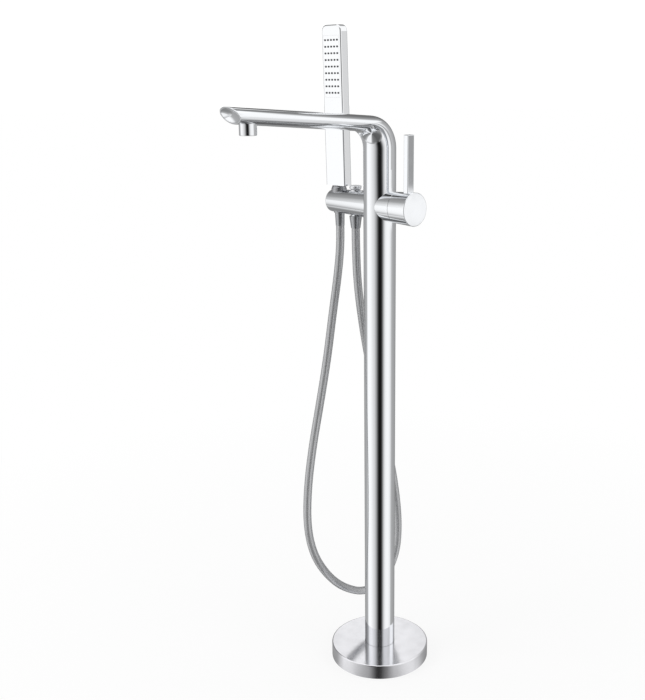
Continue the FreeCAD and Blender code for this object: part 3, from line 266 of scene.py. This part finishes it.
# %% The dished plate in the spout's end
DISH_RINGS, DISH_DEPTH, DISH_INSET = 12, 2.2, 0.4
shape = bmesh.new()
circle = bmesh.ops.create_circle(shape, segments=SKIN_FACETS, radius=1)["verts"]


def dish_place(step):
    size = 1 - step / (DISH_RINGS + 0.5)
    depth = DISH_INSET + DISH_DEPTH * (1 - size ** 2)
    return tip_frame @ Matrix.Translation((0, 0, -depth * MM)) @ Matrix.Diagonal(
        (mouth[0] * size * MM, mouth[1] * size * MM, 1, 1))


bmesh.ops.transform(shape, matrix=dish_place(0), verts=circle)
edges = ring_edges(shape, circle)
for step in range(DISH_RINGS):
    edges = next_ring(shape, edges, dish_place(step + 1) @ dish_place(step).inverted())
bmesh.ops.contextual_create(shape, geom=edges)
tip_dish = shown_piece("spout_end_dish", shape, "stand", "spout_end_plate")

# %% [markdown]
# ## The spring under the diverter knob
# The knob's piston presses the spring against the bonnet as it is lifted.  Here the coil is the
# CAD node's mesh with its doubled points merged.

# %% Diverter spring
shape = bmesh.new()
shape.from_mesh(nodes["diverter_spring"].data)
bmesh.ops.remove_doubles(shape, verts=shape.verts, dist=1e-6)
spring = shown_piece("diverter_spring_coil", shape, "stand", "diverter_spring")
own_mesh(spring)

# %% [markdown]
# ## Finishes
# Chrome plate is a mirror, so nearly all of its look comes from what stands round it.  What makes it
# plate and not a perfect mirror is small: a faint waviness from the polishing wheel, a little haze
# that comes and goes, and the finest drag lines.  These are noise on the roughness and a very weak
# bump.

# %% Node helpers
def dress(piece, material):
    piece.data.materials.clear()
    piece.data.materials.append(material)


def finish(name, colour, roughness, metallic=0.0):
    """A new Principled finish; its node tree is returned for the detail."""
    material = bpy.data.materials.new(name)
    material.use_nodes = True
    shader = material.node_tree.nodes["Principled BSDF"]
    shader.inputs["Base Color"].default_value = (*colour, 1)
    shader.inputs["Roughness"].default_value = roughness
    shader.inputs["Metallic"].default_value = metallic
    return material, material.node_tree, shader


def noise(tree, scale, detail=3.0, stretch=(1, 1, 1)):
    """Noise in metres of the object's own space, stretched along an axis where asked."""
    place = tree.nodes.new("ShaderNodeTexCoord")
    mapping = tree.nodes.new("ShaderNodeMapping")
    mapping.inputs["Scale"].default_value = stretch
    texture = tree.nodes.new("ShaderNodeTexNoise")
    texture.inputs["Scale"].default_value = scale
    texture.inputs["Detail"].default_value = detail
    tree.links.new(place.outputs["Object"], mapping.inputs["Vector"])
    tree.links.new(mapping.outputs["Vector"], texture.inputs["Vector"])
    return texture


# noise keeps mostly between these two values
NOISE_LOW, NOISE_HIGH = 0.3, 0.7


def vary_roughness(tree, shader, texture, low, high):
    spread = tree.nodes.new("ShaderNodeMapRange")
    spread.inputs["From Min"].default_value = NOISE_LOW
    spread.inputs["From Max"].default_value = NOISE_HIGH
    spread.inputs["To Min"].default_value = low
    spread.inputs["To Max"].default_value = high
    tree.links.new(texture.outputs["Fac"], spread.inputs["Value"])
    tree.links.new(spread.outputs["Result"], shader.inputs["Roughness"])


def vary_colour(tree, shader, texture, dark, light):
    ramp = tree.nodes.new("ShaderNodeValToRGB")
    ramp.color_ramp.elements[0].position = NOISE_LOW
    ramp.color_ramp.elements[0].color = (*dark, 1)
    ramp.color_ramp.elements[1].position = NOISE_HIGH
    ramp.color_ramp.elements[1].color = (*light, 1)
    tree.links.new(texture.outputs["Fac"], ramp.inputs["Fac"])
    tree.links.new(ramp.outputs["Color"], shader.inputs["Base Color"])


def bump(tree, shader, texture, strength, distance):
    relief = tree.nodes.new("ShaderNodeBump")
    relief.inputs["Strength"].default_value = strength
    relief.inputs["Distance"].default_value = distance
    tree.links.new(texture.outputs["Fac"], relief.inputs["Height"])
    tree.links.new(relief.outputs["Normal"], shader.inputs["Normal"])


# %% Polished plate
def polished_plate(name, colour, haze, stretch):
    material, tree, shader = finish(name, colour, haze[0], 1.0)
    vary_roughness(tree, shader, noise(tree, 60, 4, stretch), haze[0], haze[1])
    vary_colour(tree, shader, noise(tree, 18, 2, stretch), [c * 0.985 for c in colour], colour)
    bump(tree, shader, noise(tree, 35, 2, stretch), 0.02, 0.0004)
    return material


chrome_up = polished_plate("chrome_column_polish", (0.918, 0.933, 0.955), (0.025, 0.06), (1, 1, 0.3))
chrome_body = polished_plate("chrome_body_polish", (0.912, 0.927, 0.948), (0.03, 0.07), (0.3, 1, 1))
chrome_small = polished_plate("chrome_trim_polish", (0.9, 0.912, 0.932), (0.04, 0.09), (1, 1, 1))
chrome_hand = polished_plate("chrome_hand_shower", (0.925, 0.935, 0.95), (0.03, 0.07), (1, 1, 0.3))
satin_trim = polished_plate("satin_trim", (0.93, 0.94, 0.96), (0.4, 0.5), (1, 1, 0.4))
chrome_base = polished_plate("chrome_flange_polish", (0.9, 0.9, 0.93), (0.12, 0.17), (1, 1, 1))
# satin plate with a darkened base colour: painted shade under the mixer body on the hose nut and cone
satin_ferrule_painted_shade = polished_plate("satin_ferrule_painted_shade", (0.47, 0.48, 0.495), (0.3, 0.4), (1, 1, 0.3))
# satin plate with a darkened base colour: painted dark reflection and painted shadow of the hand shower
# on the socket bush and neck
satin_socket_painted_shade = polished_plate("satin_socket_painted_shade", (0.47, 0.475, 0.49), (0.42, 0.5), (1, 1, 1))

# %% [markdown]
# ### Rubber, plastic, brass and steel
# The rest is seen in small areas: grey nozzle rubber, black seals, white cartridge plastic, turned
# brass and plain steel.  Each gets its own grain: turned parts show rings, moulded ones a fine
# speckle.

# %% Rubber, plastic, brass and steel
def moulded(name, dark, light, roughness, scale=900):
    material, tree, shader = finish(name, light, roughness)
    vary_colour(tree, shader, noise(tree, scale / 6, 3), dark, light)
    vary_roughness(tree, shader, noise(tree, scale, 2), roughness - 0.06, roughness + 0.08)
    bump(tree, shader, noise(tree, scale, 2), 0.25, 0.00005)
    return material


def turned_metal(name, dark, light, roughness, axis_stretch):
    material, tree, shader = finish(name, light, roughness, 1.0)
    vary_colour(tree, shader, noise(tree, 150, 2), dark, light)
    vary_roughness(tree, shader, noise(tree, 700, 3, axis_stretch), roughness - 0.08, roughness + 0.1)
    bump(tree, shader, noise(tree, 900, 2, axis_stretch), 0.2, 0.00004)
    return material


black_rubber = moulded("seal_rubber", (0.012, 0.012, 0.013), (0.03, 0.03, 0.032), 0.6)
nozzle_rubber = moulded("nozzle_rubber", (0.05, 0.052, 0.056), (0.085, 0.088, 0.094), 0.5, 1200)
white_plastic = moulded("cartridge_plastic", (0.72, 0.72, 0.69), (0.82, 0.82, 0.79), 0.42)
dark_plastic = moulded("jet_insert_plastic", (0.03, 0.03, 0.033), (0.06, 0.06, 0.064), 0.4)
ceramic = moulded("lapped_ceramic", (0.82, 0.81, 0.77), (0.9, 0.89, 0.85), 0.18, 2000)
brass = turned_metal("turned_brass", (0.62, 0.45, 0.2), (0.78, 0.6, 0.3), 0.3, (4, 1, 1))
steel = turned_metal("plain_steel", (0.5, 0.5, 0.5), (0.64, 0.64, 0.63), 0.36, (1, 1, 3))

# %% [markdown]
# ### The hose's sleeve
# The sleeve is smooth silver plastic over a fine wound lining.  The lining shows through as close
# slanting bands of slightly lighter and darker grey, so the pattern follows the tube: it is driven
# by the tube's own UV map, with many turns along the length.

# %% Hose sleeve
BAND_PITCH, WAVE_UNIT = 0.0028, 20


def wound_sleeve(name, length):
    material, tree, shader = finish(name, (0.42, 0.43, 0.44), 0.25, 0.55)
    uv = tree.nodes.new("ShaderNodeUVMap")
    wave = tree.nodes.new("ShaderNodeTexWave")
    ramp = tree.nodes.new("ShaderNodeValToRGB")
    wave.bands_direction = "DIAGONAL"
    wave.inputs["Scale"].default_value = length / BAND_PITCH / WAVE_UNIT
    ramp.color_ramp.elements[0].color = (0.41, 0.415, 0.425, 1)
    ramp.color_ramp.elements[1].color = (0.55, 0.555, 0.565, 1)
    tree.links.new(uv.outputs["UV"], wave.inputs["Vector"])
    tree.links.new(wave.outputs["Fac"], ramp.inputs["Fac"])
    tree.links.new(ramp.outputs["Color"], shader.inputs["Base Color"])
    vary_roughness(tree, shader, noise(tree, 120, 2), 0.2, 0.32)
    shader.inputs["Coat Weight"].default_value = 0.4
    shader.inputs["Coat Roughness"].default_value = 0.12
    return material


for sleeve, length in ((hose_upper, upper_length), (hose_loop, loop_length)):
    dress(sleeve, wound_sleeve(sleeve.name + "_finish", length))
    print(sleeve.name, "has bands every", BAND_PITCH, "m")

# %% [markdown]
# ### Finishes for the pieces that stay as CAD solids
# Most inner pieces are right as they come.  They only need the finish of the real material, except
# the hose nut and cone and the socket bush and neck, whose darkened plate is painted shade and dark
# reflection.

# %% Finishes by CAD node
finish_of = {
    chrome_up: ["column"],
    chrome_body: ["valve_body", "dome_cover", "lever_hub", "lever"],
    chrome_small: ["aerator_housing", "outlet_nipple", "screw_plug"],
    satin_trim: ["diverter_bonnet", "diverter_knob", "diverter_stem"],
    # socket bush and neck: darkened plate, painted dark reflection and the hand shower's shadow
    satin_socket_painted_shade: ["handset_neck", "socket_bush"],
    # hose nut and cone: darkened plate, painted shade under the mixer body
    satin_ferrule_painted_shade: ["hose_nut_outlet", "hose_cone"],
    chrome_hand: ["handset_shell", "spray_plate"], chrome_base: ["base_cover"],
    black_rubber: ["floor_gasket", "cover_ring", "aerator_washer", "diverter_seal", "cartridge_seal"],
    nozzle_rubber: ["nozzle_mat"],
    white_plastic: ["cartridge_housing", "cartridge_rotor", "spout_pipe"],
    dark_plastic: ["aerator_insert"], ceramic: ["ceramic_disc_fixed", "ceramic_disc_moving"],
    brass: ["cartridge_nut", "cartridge_stem", "supply_pipe_hot", "supply_pipe_cold",
            "supply_connector_hot", "supply_connector_cold"],
    steel: ["floor_plate", "column_screws", "stem_pin", "handle_screw"],
}
for piece, material, name in ((spout_skin, chrome_up, "spout"), (tip_dish, chrome_up, "spout_end_plate"),
                              (spring, steel, "diverter_spring")):
    dress(piece, material)
    dress(nodes[name], material)
for material, names in finish_of.items():
    for name in names:
        dress(nodes[name], material)
print("nodes with a finish:", sum(len(names) for names in finish_of.values()), "of", len(nodes))

# %% [markdown]
# ## The studio
# A product like this is shot in a white tent.  The dark bands that make it read as metal are gaps
# and black cards round the tent.  The world gives glossy rays such a tent: a ramp of greys runs
# round it, 0 degrees being behind the camera, and there is one ramp for each of seven heights, under
# a white roof.  The camera itself sees plain white.

# %% Ramps round the tent, as (degrees, grey)
under = [(-180, 0.2), (-125, 0.24), (-110, 0.42), (-101, 0.9), (-62, 0.9), (-52, 0.35), (-40, 0.2),
         (0, 0.1), (40, 0.12), (66, 0.3), (80, 0.5), (92, 0.7), (104, 0.45), (124, 0.18), (147, 0.1),
         (180, 0.1)]
below = [(-180, 0.3), (-139, 0.24), (-126, 0.29), (-117, 0.55), (-110, 0.75), (-102, 0.63), (-92, 0.58),
         (-79, 0.56), (-70, 0.5), (-61, 0.38), (-42, 0.3), (-25, 0.34), (-19, 0.25), (-12, 0.13),
         (-7, 0.03), (0, 0.03), (5, 0.08), (10, 0.21), (25, 0.3), (37, 0.36), (42, 0.29), (61, 0.5),
         (73, 0.62), (86, 0.77), (104, 0.8), (112, 0.72), (117, 0.6), (127, 0.39), (139, 0.24),
         (180, 0.2)]
column_gap = [(-66, 0.9), (-54, 0.77), (-46, 0.69), (-38, 0.59), (-31, 0.45), (-24, 0.3), (-17, 0.12),
              (-11, 0.03), (-6, 0.008), (7, 0.008), (12, 0.03), (18, 0.12), (24, 0.35), (31, 0.6),
              (39, 0.79), (47, 0.88), (60, 0.92)]
left_edge = [(-180, 0.25), (-131, 0.36), (-116, 0.38), (-107, 0.42), (-98, 0.88), (-94, 0.97),
             (-78, 0.96)]
chest = [*left_edge, *column_gap, (72, 0.88), (84, 0.72), (96, 0.5), (109, 0.36), (130, 0.34),
         (180, 0.2)]
cap_height = [*left_edge, *column_gap, (98, 0.92), (103, 0.36), (130, 0.34), (180, 0.2)]
shoulder = [*left_edge, *column_gap, (82, 0.9), (85, 0.66), (89.6, 0.66), (90.4, 0.32), (95, 0.32),
            (98, 0.5), (130, 0.36), (180, 0.2)]
head = [(-180, 0.15), (-135, 0.15), (-106, 0.35), (-98, 0.6), (-93, 0.95), *column_gap, (96, 0.95),
        (104, 0.7), (116, 0.42), (150, 0.33), (166, 0.15), (180, 0.15)]
above = [(-180, 0.9), (-176.5, 0.9), (-173, 0.3), (-139, 0.15), (-106, 0.33), (-98, 0.5), (-90, 0.85),
         *column_gap[:8], (-6, 0.035), (7, 0.035), *column_gap[10:-3], (42, 0.68), (58, 0.68),
         (72, 0.62), (79, 0.6), (83, 0.95), (120, 0.95), (140, 0.4), (174, 0.15), (176.5, 0.9),
         (180, 0.9)]

# %% World
world = bpy.data.worlds.new("studio")
bpy.context.scene.world = world
world.use_nodes = True
tree = world.node_tree
background = tree.nodes["Background"]
place = tree.nodes.new("ShaderNodeTexCoord")
turn = tree.nodes.new("ShaderNodeMapping")
turn.inputs["Rotation"].default_value = (0, 0, math.radians(45))
around = tree.nodes.new("ShaderNodeTexGradient")
around.gradient_type = "RADIAL"
rise = tree.nodes.new("ShaderNodeSeparateXYZ")
tree.links.new(place.outputs["Generated"], turn.inputs["Vector"])
tree.links.new(turn.outputs["Vector"], around.inputs["Vector"])
tree.links.new(place.outputs["Generated"], rise.inputs["Vector"])


def ring_of_cards(stops):
    """A grey for each direction round the tent."""
    ramp = tree.nodes.new("ShaderNodeValToRGB")
    elements = ramp.color_ramp.elements
    for index, (angle, grey) in enumerate(stops):
        position = 0.5 + angle / 360
        if index in (0, len(stops) - 1):
            element = elements[0 if index == 0 else -1]
            element.position = position
        else:
            element = elements.new(position)
        element.color = (grey, grey, grey, 1)
    tree.links.new(around.outputs["Fac"], ramp.inputs["Fac"])
    return ramp.outputs["Color"]


def over(lower, upper, start, end):
    """The lower ring up to a height, and the upper one above it."""
    height = tree.nodes.new("ShaderNodeMapRange")
    height.inputs["From Min"].default_value = start
    height.inputs["From Max"].default_value = end
    tree.links.new(rise.outputs["Z"], height.inputs["Value"])
    return mixed(lower, upper, height.outputs["Result"])


def mixed(one, other, factor):
    mix = tree.nodes.new("ShaderNodeMix")
    mix.data_type = "RGBA"
    for socket, colour in (("A", one), ("B", other)):
        if isinstance(colour, tuple):
            mix.inputs[socket].default_value = colour
        else:
            tree.links.new(colour, mix.inputs[socket])
    tree.links.new(factor, mix.inputs["Factor"])
    return mix.outputs["Result"]


white, fill_grey = (1, 1, 1, 1), (0.74, 0.74, 0.74, 1)
tent = ring_of_cards(under)
for cards, start, end in ((below, -0.66, -0.57), (chest, -0.54, -0.533), (cap_height, -0.142, -0.135),
                          (shoulder, -0.104, -0.098), (head, 0.085, 0.095), (above, 0.44, 0.46)):
    tent = over(tent, ring_of_cards(cards), start, end)
tent = over(tent, white, 0.72, 0.76)
rays = tree.nodes.new("ShaderNodeLightPath")
tent = mixed(fill_grey, tent, rays.outputs["Is Glossy Ray"])
tent = mixed(tent, white, rays.outputs["Is Camera Ray"])
tree.links.new(tent, background.inputs["Color"])
background.inputs["Strength"].default_value = 1.1
print("tent nodes:", len(tree.nodes))

# %% [markdown]
# ## Floor and lamps
# The floor is a wide pale sheet.  Near the object it keeps a part of its shade so that the object
# stands on something; further off it is as white as the tent.  Reflections look past it at the
# tent, whose lowest ring stands for it.

# %% Floor
def stage_plane(name, half, height):
    shape = bmesh.new()
    bmesh.ops.create_grid(shape, x_segments=1, y_segments=1, size=half)
    bmesh.ops.translate(shape, vec=(0, 0, height), verts=shape.verts)
    mesh = bpy.data.meshes.new(name)
    shape.to_mesh(mesh)
    shape.free()
    plane = bpy.data.objects.new(name, mesh)
    bpy.context.scene.collection.objects.link(plane)
    return plane


floor = stage_plane("floor", 30, 0)
floor.visible_glossy = False
sheet, tree, shader = finish("floor_sheet", (0.9, 0.9, 0.9), 0.7)
place = tree.nodes.new("ShaderNodeTexCoord")
away = tree.nodes.new("ShaderNodeVectorMath")
away.operation = "LENGTH"
fade = tree.nodes.new("ShaderNodeMapRange")
fade.inputs["From Min"].default_value = 0.15
fade.inputs["From Max"].default_value = 1.2
fade.inputs["To Min"].default_value = 0.8
fade.inputs["To Max"].default_value = 1.0
glow = tree.nodes.new("ShaderNodeEmission")
mix = tree.nodes.new("ShaderNodeMixShader")
rays = tree.nodes.new("ShaderNodeLightPath")
share = tree.nodes.new("ShaderNodeMath")
share.operation = "MULTIPLY"
tree.links.new(place.outputs["Object"], away.inputs[0])
tree.links.new(away.outputs["Value"], fade.inputs["Value"])
tree.links.new(rays.outputs["Is Camera Ray"], share.inputs[0])
tree.links.new(fade.outputs["Result"], share.inputs[1])
tree.links.new(share.outputs["Value"], mix.inputs["Fac"])
tree.links.new(shader.outputs["BSDF"], mix.inputs[1])
tree.links.new(glow.outputs["Emission"], mix.inputs[2])
tree.links.new(mix.outputs["Shader"], tree.nodes["Material Output"].inputs["Surface"])
floor.data.materials.append(sheet)
print("floor sheet", [round(side, 1) for side in floor.dimensions])


# %% Lamps
def soft_lamp(name, place, target, size, power):
    lamp = bpy.data.lights.new(name, "AREA")
    lamp.shape = "RECTANGLE"
    lamp.size, lamp.size_y = size
    lamp.energy = power
    holder = bpy.data.objects.new(name, lamp)
    bpy.context.scene.collection.objects.link(holder)
    holder.location = place
    holder.rotation_euler = (Vector(target) - Vector(place)).to_track_quat("-Z", "Y").to_euler()
    holder.visible_glossy = False


soft_lamp("key_softbox", (-1.2, -2.2, 2.2), (0, 0, 0.5), (1.6, 1.6), 22)
soft_lamp("fill_softbox", (2.4, 0.8, 1.8), (0, 0, 0.5), (1.6, 1.6), 10)
print("lamps:", [lamp.name for lamp in bpy.data.lights])

# %% [markdown]
# ## Colour management
# The view transform stays plain so that a colour renders as written.

# %% Colour management
bpy.context.scene.view_settings.view_transform = "Standard"
